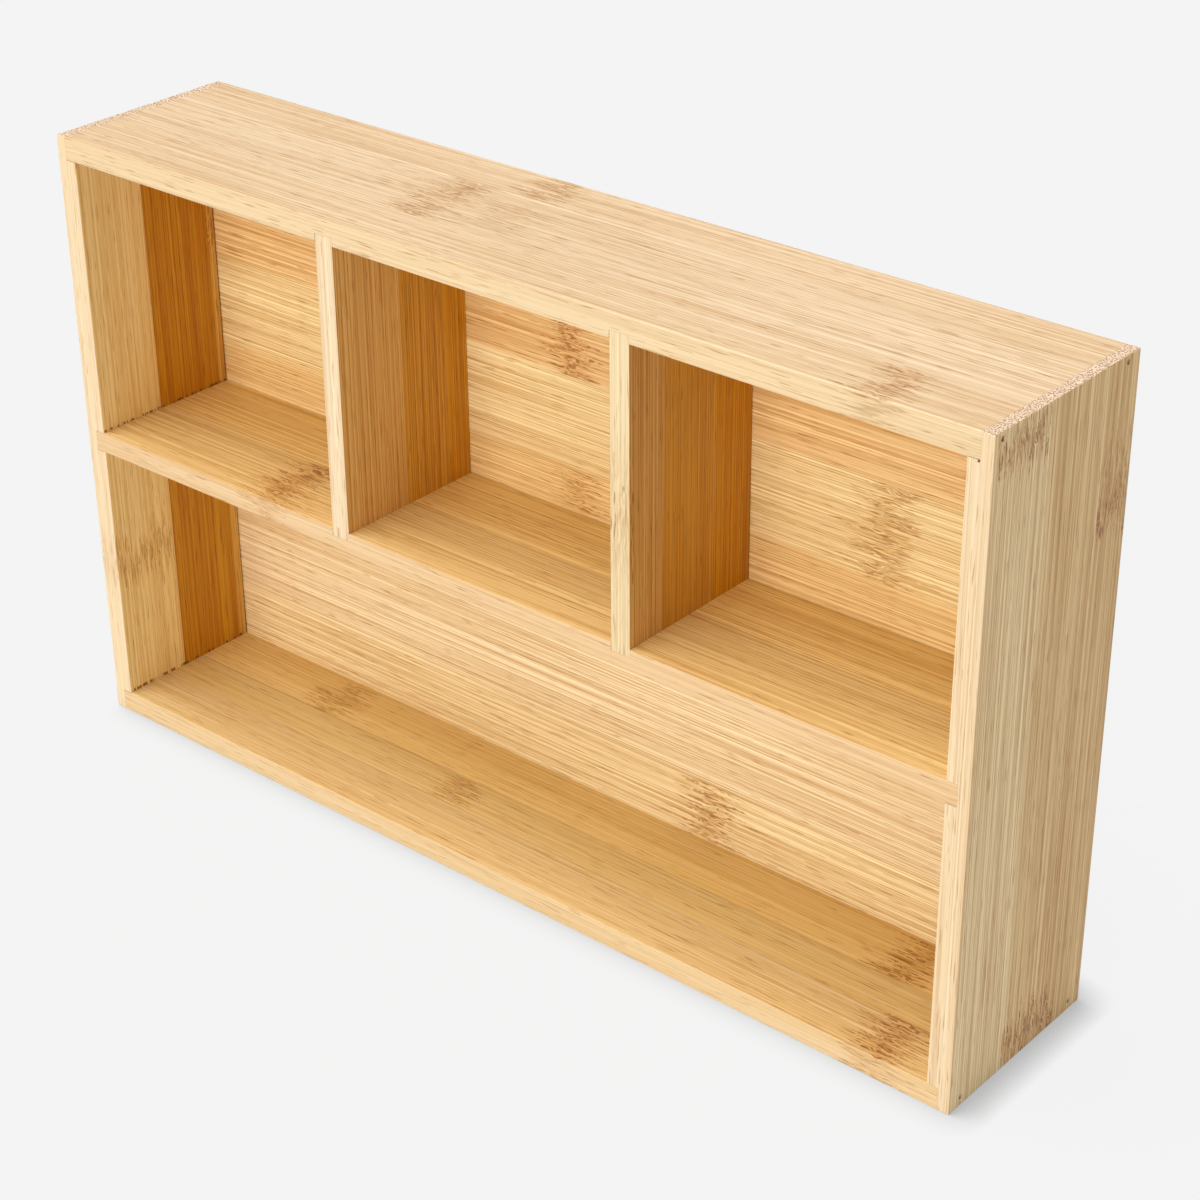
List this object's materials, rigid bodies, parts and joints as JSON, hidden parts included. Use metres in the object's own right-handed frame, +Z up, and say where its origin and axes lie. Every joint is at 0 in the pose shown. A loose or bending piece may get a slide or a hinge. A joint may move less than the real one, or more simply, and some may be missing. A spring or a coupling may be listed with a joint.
{
  "type": "desk organizer",
  "caption": "Shallow bamboo box, open at the front, with a full-width lower bay and a row of square bays above it.",
  "frame": {"origin": "on the standing surface, under the middle of the box", "axes": "+X to the right along the width, +Y from the open front to the back panel, +Z up"},
  "size_m": [0.3, 0.06, 0.18],
  "materials": {
    "side_bamboo": "satin lacquered bamboo, fibres upright",
    "top_bamboo": "satin lacquered pale bamboo, fibres lengthwise",
    "bottom_bamboo": "satin lacquered bamboo, fibres lengthwise",
    "shelf_bamboo": "satin lacquered bamboo, fibres lengthwise",
    "divider_bamboo": "satin lacquered bamboo, fibres upright",
    "panel_bamboo": "satin lacquered pale bamboo, fibres lengthwise",
    "brad_steel": "darkened steel"
  },
  "bodies": {
    "root": {"left_side": "side_bamboo", "right_side": "side_bamboo", "top_board": "top_bamboo", "bottom_board": "bottom_bamboo", "shelf": "shelf_bamboo", "left_divider": "divider_bamboo", "right_divider": "divider_bamboo", "back_panel": "panel_bamboo", "brad_left_top_front": "brad_steel", "brad_left_top_rear": "brad_steel", "brad_left_bottom_front": "brad_steel", "brad_left_bottom_rear": "brad_steel", "brad_right_top_front": "brad_steel", "brad_right_top_rear": "brad_steel", "brad_right_bottom_front": "brad_steel", "brad_right_bottom_rear": "brad_steel"}
  },
  "joints": []
}
